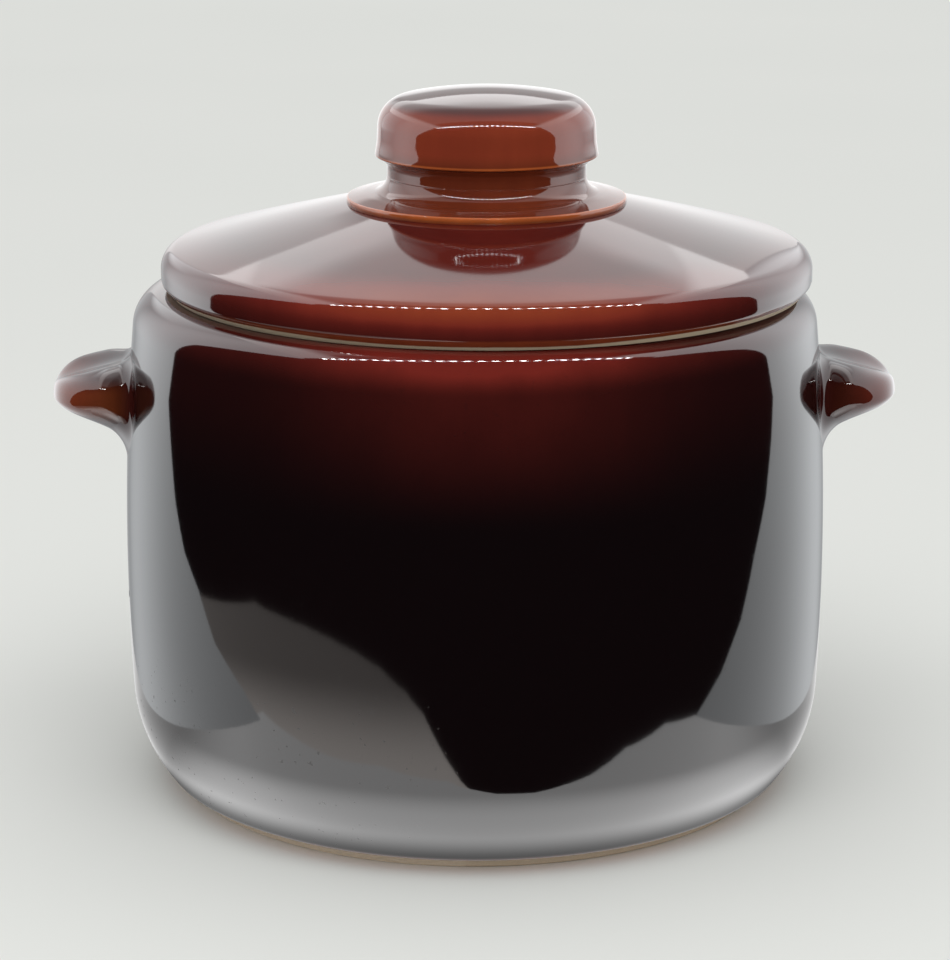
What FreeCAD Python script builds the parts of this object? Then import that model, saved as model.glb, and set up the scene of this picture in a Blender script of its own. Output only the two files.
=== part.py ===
import FreeCAD, Part
import math
import os

# Stoneware bean pot: a round body with two lug handles, and a loose lid with a hollow knob.
# Millimetres. The origin is on the body's axis, in the plane that the foot stands on, +Z is up.
# The body is turned about Z; the lid is turned about its own axis, which lies a little to +X.

# Body, outside
belly_radius = 92.0
belly_height = 58.0
rim_height = 130.6
rim_crest_inset = 12.1
shoulder_radius = 9.0
lower_wall_radius = 730.0
heel_corner_radius = 38.0
heel_inset = 9.4
heel_height = 3.0

# Foot, set in under the heel
foot_inset = 3.6
foot_height = 2.2
foot_ring_width = 8.0
foot_recess = 1.6
foot_edge_round = 0.6

# Body, inside
wall_thickness = 6.0
floor_thickness = 8.0
rim_land_width = 7.3
mouth_edge_round = 1.5

# Lid. It hangs over the rim's crest, and its dome ends under the knob's collar.
lid_overhang = 2.3
lid_bevel_width = 2.1
lid_bevel_height = 3.2
lid_bevel_bulge = 0.3
lid_rim_round = 5.4
lid_rim_mid_height = 5.8
lid_dome_radius = 1400.0
lid_dome_height = 21.8
lid_thickness = 5.8
lid_hollow_round = 5.0

# Locating flange under the lid. The lid lies pushed aside until only the play is left there.
mouth_clearance = 3.6
flange_play = 0.6
flange_width = 5.0
flange_depth = 8.5
flange_edge_round = 1.2
flange_land_width = 3.0

# Knob: collar, flare, neck and cap
collar_radius = 36.2
collar_thickness = 1.6
collar_flat_width = 5.4
collar_flat_rise = 1.1
neck_radius = 25.7
neck_height = 7.7
neck_flare_height = 3.4
neck_flare_bulge = 1.5
cap_overhang = 3.1
cap_edge_rise = 1.7
cap_height = 17.4
cap_side_draft = 0.7
cap_side_bulge = 0.07
cap_corner_round = 8.0
cap_dome_radius = 112.0

# Inside of the knob
neck_wall = 5.7
knob_wall = 5.4
hollow_flare_drop = 2.7
knob_hollow_round = 4.0

# Handles. Each is a lug with a thumb dish on top and a waist where it leaves the wall. Out is
# measured from the wall, and rise and drop from the lug's middle height.
handle_below_rim = 26.1
handle_reach = 19.6
handle_waist_half_width = 19.0
handle_half_width = 21.4
handle_flare_out = 8.0
handle_corner_start = 9.0
handle_nose_start = 13.0
handle_nose_margin = 0.3
handle_root_rise = 12.2
handle_nose_rise = 6.4
handle_root_drop = 12.5
handle_nose_drop = 2.7
handle_root_sag = 4.2
handle_nose_sag = 1.0
handle_dish_depth = 4.6
handle_ridge_inset = 0.5
handle_side_fillet = 3.0
handle_top_fillet = 2.5
handle_under_fillet = 6.0
handle_fillet_sink = 0.8
handle_root_sink = 3.6
handle_plan_squareness = 2.3
handle_top_squareness = 2.0
handle_under_squareness = 2.3
handle_ring_points = 24
handle_rings = 10

# A trimming solid stops this far inside the bore that the trimmed piece has there
trim_margin = 5.0

# Radii that follow from those sizes
rim_crest_radius = belly_radius - rim_crest_inset
heel_radius = belly_radius - heel_inset
foot_radius = heel_radius - foot_inset
mouth_radius = rim_crest_radius - rim_land_width
flange_outer_radius = mouth_radius - mouth_clearance
flange_inner_radius = flange_outer_radius - flange_width
lid_shift = mouth_clearance - flange_play
lid_edge_radius = rim_crest_radius + lid_overhang
lid_rim_radius = lid_edge_radius + lid_bevel_width
lid_hollow_radius = flange_inner_radius - flange_land_width
collar_flat_radius = collar_radius - collar_flat_width
vent_radius = neck_radius - neck_wall
cap_edge_radius = neck_radius + cap_overhang
cap_side_radius = cap_edge_radius - cap_side_draft

# Heights that follow from those sizes
collar_foot_height = rim_height + lid_dome_height
collar_edge_height = collar_foot_height + collar_thickness
collar_flat_height = collar_edge_height + collar_flat_rise
neck_top_height = collar_flat_height + neck_height
cap_edge_height = neck_top_height + cap_edge_rise
knob_top_height = cap_edge_height + cap_height
handle_mid_height = rim_height - handle_below_rim


def place(radius, height):
    return FreeCAD.Vector(radius, 0, height)


def line(start, end):
    return Part.LineSegment(start, end).toShape()


def arc(start, middle, end):
    return Part.Arc(start, middle, end).toShape()


def bulging_arc(start, end, bulge):
    """An arc whose middle stands out to the right of the straight way from start to end."""
    way = end - start
    way.normalize()
    return arc(start, (start + end) / 2 + place(way.z, -way.x) * bulge, end)


def on_circle(centre, radius, angle):
    """The point of a circle in the XZ plane, at an angle in degrees from +X towards +Z."""
    turn = math.radians(angle)
    return centre + place(radius * math.cos(turn), radius * math.sin(turn))


def arc_about(centre, radius, start_angle, end_angle):
    middle_angle = (start_angle + end_angle) / 2
    return arc(on_circle(centre, radius, start_angle),
               on_circle(centre, radius, middle_angle),
               on_circle(centre, radius, end_angle))


def angle_of(centre, point):
    return math.degrees(math.atan2(point.z - centre.z, point.x - centre.x))


def circles_meet(first_centre, first_radius, second_centre, second_radius):
    """Where two circles of the XZ plane cross, on the left of the way between their centres."""
    apart = second_centre - first_centre
    distance = apart.Length
    along = (first_radius ** 2 - second_radius ** 2 + distance ** 2) / (2 * distance)
    across = math.sqrt(first_radius ** 2 - along ** 2)
    direction = apart / distance
    return first_centre + direction * along + place(-direction.z, direction.x) * across


def turn_solid(edges):
    """A closed outline in the XZ plane, turned once about the Z axis."""
    outline = Part.Wire(Part.__sortEdges__(edges))
    return Part.Face(outline).revolve(FreeCAD.Vector(0, 0, 0), FreeCAD.Vector(0, 0, 1), 360)


# Circles of the body's wall: each arc runs tangent into the next one.
shoulder_centre = place(rim_crest_radius, rim_height - shoulder_radius)
crest_rise = shoulder_centre.z - belly_height
upper_wall_radius = ((rim_crest_inset ** 2 + crest_rise ** 2 - shoulder_radius ** 2)
                     / (2 * (rim_crest_inset - shoulder_radius)))
upper_centre = place(belly_radius - upper_wall_radius, belly_height)
lower_centre = place(belly_radius - lower_wall_radius, belly_height)
heel_point = place(heel_radius, heel_height)
heel_centre = circles_meet(lower_centre, lower_wall_radius - heel_corner_radius,
                           heel_point, heel_corner_radius)
shoulder_angle = angle_of(upper_centre, shoulder_centre)
corner_angle = angle_of(lower_centre, heel_centre)
heel_angle = angle_of(heel_centre, heel_point)


def wall_arcs(inset, lowest_angle):
    """The wall from the heel's corner up to the rim's crest, moved inwards by inset."""
    return [
        arc_about(heel_centre, heel_corner_radius - inset, lowest_angle, corner_angle),
        arc_about(lower_centre, lower_wall_radius - inset, corner_angle, 0),
        arc_about(upper_centre, upper_wall_radius - inset, 0, shoulder_angle),
        arc_about(shoulder_centre, shoulder_radius - inset, shoulder_angle, 90),
    ]


def wall_radius_at(height):
    """The outer radius of the body at a height between the belly and the shoulder."""
    return upper_centre.x + math.sqrt(upper_wall_radius ** 2 - (height - belly_height) ** 2)


def body_envelope():
    """Everything inside the body's outer wall, to trim what is luted on to it."""
    edges = wall_arcs(0, heel_angle)
    edges.append(line(place(rim_crest_radius, rim_height), place(0, rim_height)))
    edges.append(line(place(0, rim_height), place(0, heel_height)))
    edges.append(line(place(0, heel_height), heel_point))
    return turn_solid(edges)


def mouth_edges(under_height):
    """The flat land of the rim, and the mouth's wall down to the rim's underside."""
    lip = mouth_edge_round
    upper_lip = place(mouth_radius + lip, rim_height - lip)
    lower_lip = place(mouth_radius + lip, under_height + lip)
    return [
        line(place(rim_crest_radius, rim_height), on_circle(upper_lip, lip, 90)),
        arc_about(upper_lip, lip, 90, 180),
        line(on_circle(upper_lip, lip, 180), on_circle(lower_lip, lip, 180)),
        arc_about(lower_lip, lip, 180, 270),
        line(on_circle(lower_lip, lip, 270), place(rim_crest_radius, under_height)),
    ]


def foot_edges():
    """The recessed underside, the foot's ring and the step out to the heel."""
    ring_inner_radius = foot_radius - foot_ring_width
    edge_centre = place(foot_radius - foot_edge_round, foot_edge_round)
    return [
        line(place(0, foot_recess), place(ring_inner_radius, foot_recess)),
        line(place(ring_inner_radius, foot_recess), place(ring_inner_radius, 0)),
        line(place(ring_inner_radius, 0), on_circle(edge_centre, foot_edge_round, -90)),
        arc_about(edge_centre, foot_edge_round, -90, 0),
        line(on_circle(edge_centre, foot_edge_round, 0), place(foot_radius, foot_height)),
        line(place(foot_radius, foot_height), heel_point),
    ]


def make_pot_body():
    inner_corner_radius = heel_corner_radius - wall_thickness
    floor_angle = math.degrees(math.asin((floor_thickness - heel_centre.z) / inner_corner_radius))
    floor_edge = on_circle(heel_centre, inner_corner_radius, floor_angle)
    edges = wall_arcs(0, heel_angle)
    edges.extend(mouth_edges(rim_height - wall_thickness))
    edges.extend(wall_arcs(wall_thickness, floor_angle))
    edges.append(line(floor_edge, place(0, floor_thickness)))
    edges.append(line(place(0, floor_thickness), place(0, foot_recess)))
    edges.extend(foot_edges())
    return turn_solid(edges)


def handle_taper(out, start, squareness):
    """How far the lug has closed in towards its nose: 1 before the start, then less and less."""
    way = max(out - start, 0) / (handle_reach + handle_nose_margin - start)
    return (1 - way ** squareness) ** (1 / squareness)


def fillet_growth(radius, out):
    """How much a fillet of this radius adds to the lug at a distance out from the wall."""
    short = max(radius - handle_fillet_sink - out, 0)
    return radius - math.sqrt(radius ** 2 - short ** 2)


def rounded_square(angle):
    """Across and up on a shape between a circle and a square, each from -1 to 1."""
    power = 2 / (handle_top_squareness if math.sin(angle) > 0 else handle_under_squareness)
    across = math.copysign(abs(math.cos(angle)) ** power, math.cos(angle))
    up = math.copysign(abs(math.sin(angle)) ** power, math.sin(angle))
    return across, up


def handle_ring(out, sink):
    """A closed ring round the lug, bent to the wall near its root; sink sets it flat inside the wall."""
    way = out / handle_reach
    flare = min(out / handle_flare_out, 1.0)
    flare = flare * flare * (3 - 2 * flare)
    half_width = handle_waist_half_width + flare * (handle_half_width - handle_waist_half_width)
    half_width = half_width * handle_taper(out, handle_corner_start, handle_plan_squareness)
    taper = handle_taper(out, handle_nose_start, handle_under_squareness)
    middle = -handle_root_sag * (1 - flare) - handle_nose_sag * way ** 2
    rise = taper * (handle_root_rise + way * (handle_nose_rise - handle_root_rise) - middle)
    drop = taper * (handle_root_drop + way * (handle_nose_drop - handle_root_drop) + middle)
    dish_half_width = half_width * (1 - handle_ridge_inset / handle_half_width)
    middle_radius = wall_radius_at(handle_mid_height)
    points = []
    for number in range(handle_ring_points):
        across, up = rounded_square(math.tau * number / handle_ring_points)
        end_fillet = handle_top_fillet if up > 0 else handle_under_fillet
        growth = fillet_growth(handle_side_fillet + up ** 2 * (end_fillet - handle_side_fillet), out)
        y = across * (half_width + growth)
        dish = 0.0
        if up > 0 and abs(y) < dish_half_width:
            dish = taper ** 2 * handle_dish_depth * math.cos(math.pi / 2 * y / dish_half_width) ** 2
        height = rise if up > 0 else drop
        z = handle_mid_height + middle + up * (height + growth) - dish
        bend = middle_radius - math.sqrt(middle_radius ** 2 - y ** 2)
        lean = wall_radius_at(z) - middle_radius
        x = middle_radius + out + (1 - way) * (lean - bend)
        if sink:
            x = middle_radius - sink
        points.append(FreeCAD.Vector(x, y, z))
    ring = Part.BSplineCurve()
    ring.interpolate(points, PeriodicFlag=True)
    return Part.Wire(ring.toShape())


def make_right_handle(envelope):
    """A lug lofted through rings from inside the wall out to the nose, then cut off at the wall."""
    rings = [handle_ring(0, handle_root_sink)]
    for number in range(handle_rings):
        way = math.sin(math.pi / 2 * number / (handle_rings - 1))
        rings.append(handle_ring(handle_reach * way, 0))
    return Part.makeLoft(rings, True, False).cut(envelope)


def make_left_handle(right_handle):
    return right_handle.mirror(FreeCAD.Vector(0, 0, 0), FreeCAD.Vector(1, 0, 0))


# Circles of the lid's upper face: the rounded rim, and the flat dome that meets it tangent.
lid_round_centre = place(lid_rim_radius - lid_rim_round, rim_height + lid_rim_mid_height)
dome_centre = circles_meet(lid_round_centre, lid_dome_radius - lid_rim_round,
                           place(collar_radius, collar_foot_height), lid_dome_radius)
dome_angle = angle_of(dome_centre, lid_round_centre)


def dome_angle_at(radius, inset):
    """The angle, on the dome's circle less inset, of the point at a radius from the lid's axis."""
    return math.degrees(math.acos((radius - dome_centre.x) / (lid_dome_radius - inset)))


def lid_top_edges(inner_radius):
    """The lid's outside, from its lower edge over the rim and up the dome to inner_radius."""
    bevel_top = place(lid_rim_radius, rim_height + lid_bevel_height)
    return [
        bulging_arc(place(lid_edge_radius, rim_height), bevel_top, lid_bevel_bulge),
        line(bevel_top, on_circle(lid_round_centre, lid_rim_round, 0)),
        arc_about(lid_round_centre, lid_rim_round, 0, dome_angle),
        arc_about(dome_centre, lid_dome_radius, dome_angle, dome_angle_at(inner_radius, 0)),
    ]


def lid_envelope():
    """Everything under the lid's upper face, to trim the knob that is luted on to it."""
    inner_radius = vent_radius - trim_margin
    top = on_circle(dome_centre, lid_dome_radius, dome_angle_at(inner_radius, 0))
    edges = lid_top_edges(inner_radius)
    edges.append(line(top, place(0, top.z)))
    edges.append(line(place(0, top.z), place(0, rim_height)))
    edges.append(line(place(0, rim_height), place(lid_edge_radius, rim_height)))
    return turn_solid(edges)


def make_lid_cover():
    under_radius = lid_dome_radius - lid_thickness
    vent_angle = dome_angle_at(vent_radius, lid_thickness)
    hollow_angle = dome_angle_at(lid_hollow_radius - lid_hollow_round, lid_thickness)
    vent_top = on_circle(dome_centre, lid_dome_radius, dome_angle_at(vent_radius, 0))
    vent_under = on_circle(dome_centre, under_radius, vent_angle)
    hollow_top = on_circle(dome_centre, under_radius, hollow_angle)
    round_centre = hollow_top - place(0, lid_hollow_round)
    edges = lid_top_edges(vent_radius)
    edges.append(line(vent_top, vent_under))
    edges.append(arc_about(dome_centre, under_radius, vent_angle, hollow_angle))
    edges.append(arc_about(round_centre, lid_hollow_round, 90, 0))
    edges.append(line(on_circle(round_centre, lid_hollow_round, 0), place(lid_hollow_radius, rim_height)))
    edges.append(line(place(lid_hollow_radius, rim_height), place(lid_edge_radius, rim_height)))
    return turn_solid(edges)


def make_lid_flange():
    low = rim_height - flange_depth
    edge = flange_edge_round
    outer_edge = place(flange_outer_radius - edge, low + edge)
    inner_edge = place(flange_inner_radius + edge, low + edge)
    edges = [
        line(place(flange_inner_radius, rim_height), place(flange_outer_radius, rim_height)),
        line(place(flange_outer_radius, rim_height), on_circle(outer_edge, edge, 0)),
        arc_about(outer_edge, edge, 0, -90),
        line(on_circle(outer_edge, edge, -90), on_circle(inner_edge, edge, -90)),
        arc_about(inner_edge, edge, -90, -180),
        line(on_circle(inner_edge, edge, -180), place(flange_inner_radius, rim_height)),
    ]
    return turn_solid(edges)


def knob_outer_edges():
    """From the top of the cap down to the collar's edge, and on down into the lid."""
    dome = place(0, knob_top_height - cap_dome_radius)
    corner_radius = cap_side_radius - cap_corner_round
    corner_rise = math.sqrt((cap_dome_radius - cap_corner_round) ** 2 - corner_radius ** 2)
    corner = place(corner_radius, dome.z + corner_rise)
    corner_angle_top = angle_of(dome, corner)
    cap_edge = place(cap_edge_radius, cap_edge_height)
    neck_foot = place(neck_radius, collar_flat_height + neck_flare_height)
    flat_edge = place(collar_flat_radius, collar_flat_height)
    collar_edge = place(collar_radius, collar_edge_height)
    return [
        arc_about(dome, cap_dome_radius, 90, corner_angle_top),
        arc_about(corner, cap_corner_round, corner_angle_top, 0),
        bulging_arc(on_circle(corner, cap_corner_round, 0), cap_edge, cap_side_bulge),
        line(cap_edge, place(neck_radius, neck_top_height)),
        line(place(neck_radius, neck_top_height), neck_foot),
        bulging_arc(neck_foot, flat_edge, neck_flare_bulge),
        line(flat_edge, collar_edge),
        line(collar_edge, place(collar_radius, rim_height)),
    ]


def knob_inner_edges():
    """From the bottom of the vent up through the neck, and over the cap's hollow to the axis."""
    hollow_radius = cap_side_radius - knob_wall
    hollow_top = knob_top_height - knob_wall
    neck_inside = place(vent_radius, neck_top_height - hollow_flare_drop)
    round_centre = place(hollow_radius - knob_hollow_round, hollow_top - knob_hollow_round)
    return [
        line(place(vent_radius, rim_height), neck_inside),
        line(neck_inside, place(hollow_radius, cap_edge_height)),
        line(place(hollow_radius, cap_edge_height), on_circle(round_centre, knob_hollow_round, 0)),
        arc_about(round_centre, knob_hollow_round, 0, 90),
        line(on_circle(round_centre, knob_hollow_round, 90), place(0, hollow_top)),
        line(place(0, hollow_top), place(0, knob_top_height)),
    ]


def make_lid_knob(envelope):
    edges = knob_outer_edges()
    edges.append(line(place(collar_radius, rim_height), place(vent_radius, rim_height)))
    edges.extend(knob_inner_edges())
    return turn_solid(edges).cut(envelope)


def seat_lid(piece):
    """Moves a piece of the lid from the pot's axis to the place where the lid lies."""
    piece.translate(FreeCAD.Vector(lid_shift, 0, 0))
    return piece


def export(name, shape):
    solids = shape.Solids
    print(name, "solids", len(solids), "volume", round(shape.Volume / 1000, 2), "cm3",
          "valid", shape.isValid())
    target = solids[0] if len(solids) == 1 else shape
    target.exportStep("parts/" + name + ".step")


def main():
    os.makedirs("parts", exist_ok=True)
    right_handle = make_right_handle(body_envelope())
    export("pot_body", make_pot_body())
    export("right_handle", right_handle)
    export("left_handle", make_left_handle(right_handle))
    export("lid_cover", seat_lid(make_lid_cover()))
    export("lid_flange", seat_lid(make_lid_flange()))
    export("lid_knob", seat_lid(make_lid_knob(lid_envelope())))


main()
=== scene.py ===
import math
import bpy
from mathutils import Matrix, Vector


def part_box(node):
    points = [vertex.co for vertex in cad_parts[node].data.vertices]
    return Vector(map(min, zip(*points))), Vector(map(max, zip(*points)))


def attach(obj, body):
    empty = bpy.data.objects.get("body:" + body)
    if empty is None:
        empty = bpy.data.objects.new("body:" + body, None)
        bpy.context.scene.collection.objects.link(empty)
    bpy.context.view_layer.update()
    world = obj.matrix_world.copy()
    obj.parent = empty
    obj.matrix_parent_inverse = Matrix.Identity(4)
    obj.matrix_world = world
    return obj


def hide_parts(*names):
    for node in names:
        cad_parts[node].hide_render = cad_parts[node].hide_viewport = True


bl_info = {
    "name": "Stoneware Bean Pot",
    "version": (1, 0, 0),
    "blender": (4, 5, 0),
    "location": "View3D > Sidebar > Bean Pot",
    "description": "Builds a glazed stoneware bean pot with two lug handles and a loose lid",
    "category": "Add Mesh",
}

import bmesh
import bpy
from mathutils import Vector

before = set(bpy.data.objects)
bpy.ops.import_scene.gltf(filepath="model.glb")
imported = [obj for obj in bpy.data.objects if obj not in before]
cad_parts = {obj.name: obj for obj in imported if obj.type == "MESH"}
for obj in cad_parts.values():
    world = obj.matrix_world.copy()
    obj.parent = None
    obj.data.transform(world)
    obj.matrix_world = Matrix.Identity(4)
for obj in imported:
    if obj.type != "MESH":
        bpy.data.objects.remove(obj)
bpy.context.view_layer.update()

MM = 0.001

# Body outline, from the axis, in metres
POT_LOW, POT_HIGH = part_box("pot_body")
BELLY_RADIUS = POT_HIGH.x - 0.01 * MM
RIM_HEIGHT = POT_HIGH.z
BELLY_HEIGHT = 58.0 * MM
CREST_INSET = 12.1 * MM
SHOULDER_RADIUS = 9.0 * MM
LOWER_WALL_RADIUS = 730.0 * MM
HEEL_CORNER_RADIUS = 38.0 * MM
HEEL_INSET = 9.4 * MM
HEEL_HEIGHT = 3.0 * MM
HEEL_ROUND = 0.7 * MM
FOOT_INSET = 3.6 * MM
FOOT_HEIGHT = 2.2 * MM
FOOT_RING_WIDTH = 8.0 * MM
FOOT_RECESS = 1.6 * MM
FOOT_ROUND = 0.6 * MM
WALL = 6.0 * MM
FLOOR = 8.0 * MM
LAND_WIDTH = 7.3 * MM
MOUTH_ROUND = 1.5 * MM

# Lid outline, from the lid's own axis; heights are from the seat, turns in degrees
LID_LOW, LID_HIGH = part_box("lid_cover")
LID_X = (LID_LOW.x + LID_HIGH.x) / 2
LID_RIM_RADIUS = (LID_HIGH.x - LID_LOW.x) / 2
LID_EDGE_INSET = 2.1 * MM
LID_EDGE_ROUND = 0.5 * MM
LID_EDGE_TURN = 60
LID_BEVEL_HEIGHT = 3.2 * MM
LID_BEVEL_EASE_IN = 0.25 * MM
LID_BEVEL_EASE_DOWN = 0.8 * MM
LID_ROUND = 5.4 * MM
LID_ROUND_HEIGHT = 5.8 * MM
LID_DOME_RADIUS = 1400.0 * MM
LID_DOME_HEIGHT = 21.8 * MM
LID_THICKNESS = 5.8 * MM
LID_HOLLOW_RADIUS = 61.0 * MM
LID_HOLLOW_ROUND = 5.0 * MM

# Flange under the lid
FLANGE_LOW, FLANGE_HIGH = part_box("lid_flange")
FLANGE_OUTER = (FLANGE_HIGH.x - FLANGE_LOW.x) / 2
FLANGE_WIDTH = 5.0 * MM
FLANGE_ROUND = 1.2 * MM

# Knob outline, with turns in degrees
KNOB_LOW, KNOB_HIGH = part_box("lid_knob")
COLLAR_RADIUS = 36.2 * MM
COLLAR_THICKNESS = 1.6 * MM
COLLAR_ROUND = 0.5 * MM
COLLAR_EDGE_LIFT = 0.12 * MM
COLLAR_FLAT_WIDTH = 5.4 * MM
COLLAR_FLAT_RISE = 1.1 * MM
NECK_RADIUS = 25.7 * MM
NECK_HEIGHT = 7.7 * MM
NECK_FLARE_HEIGHT = 3.4 * MM
NECK_FLARE_OUT = 4.6 * MM
NECK_FLARE_TURN = 75
NECK_CORNER_OUT = 0.4 * MM
NECK_CORNER_UP = 0.1 * MM
NECK_CORNER_DOWN = 0.3 * MM
CAP_OVERHANG = 3.1 * MM
CAP_EDGE_RISE = 1.7 * MM
CAP_EDGE_ROUND = 0.5 * MM
CAP_EDGE_TURN = 110
CAP_SIDE_DRAFT = 0.7 * MM
CAP_CORNER = 8.0 * MM
CAP_DOME_RADIUS = 112.0 * MM
VENT_RADIUS = 20.0 * MM
KNOB_WALL = 5.4 * MM
HOLLOW_FLARE_DROP = 2.7 * MM
KNOB_HOLLOW_ROUND = 4.0 * MM

# Lug handles. Out is measured from the wall, rise and drop from the lug's middle height.
LUG_LOW, LUG_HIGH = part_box("right_handle")
LUG_TIP = LUG_HIGH.x - 0.02 * MM
LUG_BELOW_RIM = 26.1 * MM
LUG_WAIST_HALF_WIDTH = 19.0 * MM
LUG_HALF_WIDTH = 21.4 * MM
LUG_FLARE_OUT = 8.0 * MM
LUG_CORNER_START = 9.0 * MM
LUG_NOSE_START = 13.0 * MM
LUG_ROOT_RISE = 12.2 * MM
LUG_NOSE_RISE = 6.4 * MM
LUG_ROOT_DROP = 12.5 * MM
LUG_NOSE_DROP = 2.7 * MM
LUG_ROOT_SAG = 4.2 * MM
LUG_NOSE_SAG = 1.0 * MM
LUG_DISH_DEPTH = 4.6 * MM
LUG_RIDGE_INSET = 0.5 * MM
LUG_SIDE_FILLET = 3.0 * MM
LUG_TOP_FILLET = 2.5 * MM
LUG_UNDER_FILLET = 6.0 * MM
LUG_PLAN_SQUARENESS = 2.3
LUG_TOP_SQUARENESS = 2.0
LUG_UNDER_SQUARENESS = 2.3
LUG_ROOT_SINK = 0.05 * MM
LUG_ROOT_SPREAD = 1.2 * MM
LUG_ROUND_STEPS = 128
LUG_OUT_STEPS = 72

# Photographed view: distance from the pot's axis, height, fall and turn of the camera
VIEW_DISTANCE = 0.769
VIEW_HEIGHT = 0.280
VIEW_FALL = math.radians(14.73)
VIEW_TURN = math.radians(1.7)
LENS = 112.5
SENSOR = 36.0

# Patterns in the glaze and the clay, in waves per metre
MOTTLE_WAVES = 55.0
STREAK_WAVES = 90.0
RIPPLE_WAVES = 24.0
PORE_WAVES = 900.0
SPECK_WAVES = 700.0
BARE_EDGE_WAVES = 45.0
BARE_GRAIN_WAVES = 2600.0
CLAY_GRAIN_WAVES = 2200.0
CLAY_CLOUD_WAVES = 70.0
CLAY_GRIT_WAVES = 1400.0
GLAZE_IOR = 1.5
CLAY_ROUGHNESS = 0.82
SPECK_COLOUR = (0.004, 0.003, 0.003)
GRIT_COLOUR = (0.12, 0.06, 0.03)

# Small chip near the rim: place, size and colour of its edge and of the bare spot in it
CHIP_SPOTS = (
    ((-0.0600, -0.0590, 0.1275), 1.3 * MM, (0.62, 0.22, 0.08)),
    ((-0.0588, -0.0602, 0.1273), 0.7 * MM, (0.50, 0.40, 0.28)),
)


class PotShape(bpy.types.PropertyGroup):
    """How finely the turned pieces are made."""
    turns: bpy.props.IntProperty(
        name="Segments", description="Faces round each turned piece", default=192, min=48, max=384)
    arc_steps: bpy.props.IntProperty(
        name="Arc steps", description="Faces along each small arc of an outline", default=10, min=4, max=24)


class PotFinish(bpy.types.PropertyGroup):
    """Colours of the glaze and the clay."""
    deep: bpy.props.FloatVectorProperty(
        name="Deep glaze", description="Colour where the glaze is thick",
        default=(0.0042, 0.0022, 0.0026), subtype="COLOR", size=3, min=0, max=1)
    thin: bpy.props.FloatVectorProperty(
        name="Thin glaze", description="Colour where the glaze is thin",
        default=(0.15, 0.017, 0.012), subtype="COLOR", size=3, min=0, max=1)
    edge: bpy.props.FloatVectorProperty(
        name="Broken edge", description="Colour where the glaze breaks over an edge",
        default=(0.50, 0.12, 0.03), subtype="COLOR", size=3, min=0, max=1)
    clay: bpy.props.FloatVectorProperty(
        name="Bare clay", description="Colour of the unglazed stoneware",
        default=(0.42, 0.34, 0.24), subtype="COLOR", size=3, min=0, max=1)
    gloss: bpy.props.FloatProperty(
        name="Glaze roughness", description="Roughness of the glaze", default=0.045,
        min=0, max=1, subtype="FACTOR")


class PotStage(bpy.types.PropertyGroup):
    """The studio round the pot."""
    daylight: bpy.props.FloatProperty(
        name="Soft light", description="Strength of the even light from all sides", default=0.90,
        min=0, max=4)
    backdrop: bpy.props.FloatVectorProperty(
        name="Backdrop", description="Colour behind the pot", default=(0.74, 0.76, 0.72),
        subtype="COLOR", size=3, min=0, max=1)


class Outline:
    """A profile in the XZ plane, drawn with lines and spun arcs, that is then turned into a piece."""

    def __init__(self, radius, height):
        self.mesh = bmesh.new()
        self.tip = self.mesh.verts.new((radius, 0, height))

    def line_to(self, radius, height, steps=1):
        start = self.tip.co.copy()
        for step in range(1, steps + 1):
            point = start.lerp(Vector((radius, 0, height)), step / steps)
            following = self.mesh.verts.new(point)
            self.mesh.edges.new((self.tip, following))
            self.tip = following
        return self

    def arc(self, centre, angle, steps):
        """Spins the tip about a centre; a positive angle in degrees turns from +X towards +Z."""
        spun = bmesh.ops.spin(
            self.mesh, geom=[self.tip], cent=(centre[0], 0, centre[1]), axis=(0, -1, 0), dvec=(0, 0, 0),
            angle=math.radians(angle), steps=steps, use_merge=False, use_duplicate=False)
        self.tip = next(item for item in spun["geom_last"] if isinstance(item, bmesh.types.BMVert))
        return self

    def arc_to(self, centre, radius, height, steps):
        """Spins the tip the short way about a centre, until it points at a place."""
        start = math.atan2(self.tip.co.z - centre[1], self.tip.co.x - centre[0])
        end = math.atan2(height - centre[1], radius - centre[0])
        angle = math.degrees(end - start)
        if angle > 180:
            angle -= 360
        if angle < -180:
            angle += 360
        return self.arc(centre, angle, steps)

    def close(self):
        self.mesh.verts.ensure_lookup_table()
        self.mesh.edges.new((self.tip, self.mesh.verts[0]))
        return self

    def turn(self, axis_x, turns):
        """Turns the profile once about the upright axis through axis_x."""
        mesh = self.mesh
        bmesh.ops.spin(
            mesh, geom=mesh.verts[:] + mesh.edges[:], cent=(0, 0, 0), axis=(0, 0, 1), dvec=(0, 0, 0),
            angle=math.tau, steps=turns, use_merge=True, use_duplicate=False)
        bmesh.ops.remove_doubles(mesh, verts=mesh.verts, dist=0.004 * MM)
        bmesh.ops.recalc_face_normals(mesh, faces=mesh.faces)
        bmesh.ops.translate(mesh, verts=mesh.verts, vec=(axis_x, 0, 0))
        return mesh


def circles_meet(first, first_radius, second, second_radius):
    """Where two circles cross, on the left of the way between their centres."""
    apart = Vector(second) - Vector(first)
    distance = apart.length
    along = (first_radius ** 2 - second_radius ** 2 + distance ** 2) / (2 * distance)
    across = math.sqrt(first_radius ** 2 - along ** 2)
    direction = apart / distance
    return Vector(first) + direction * along + Vector((-direction.y, direction.x)) * across


def on_circle(centre, radius, angle):
    turn = math.radians(angle)
    return centre[0] + radius * math.cos(turn), centre[1] + radius * math.sin(turn)


def angle_of(centre, point):
    return math.degrees(math.atan2(point[1] - centre[1], point[0] - centre[0]))


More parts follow.
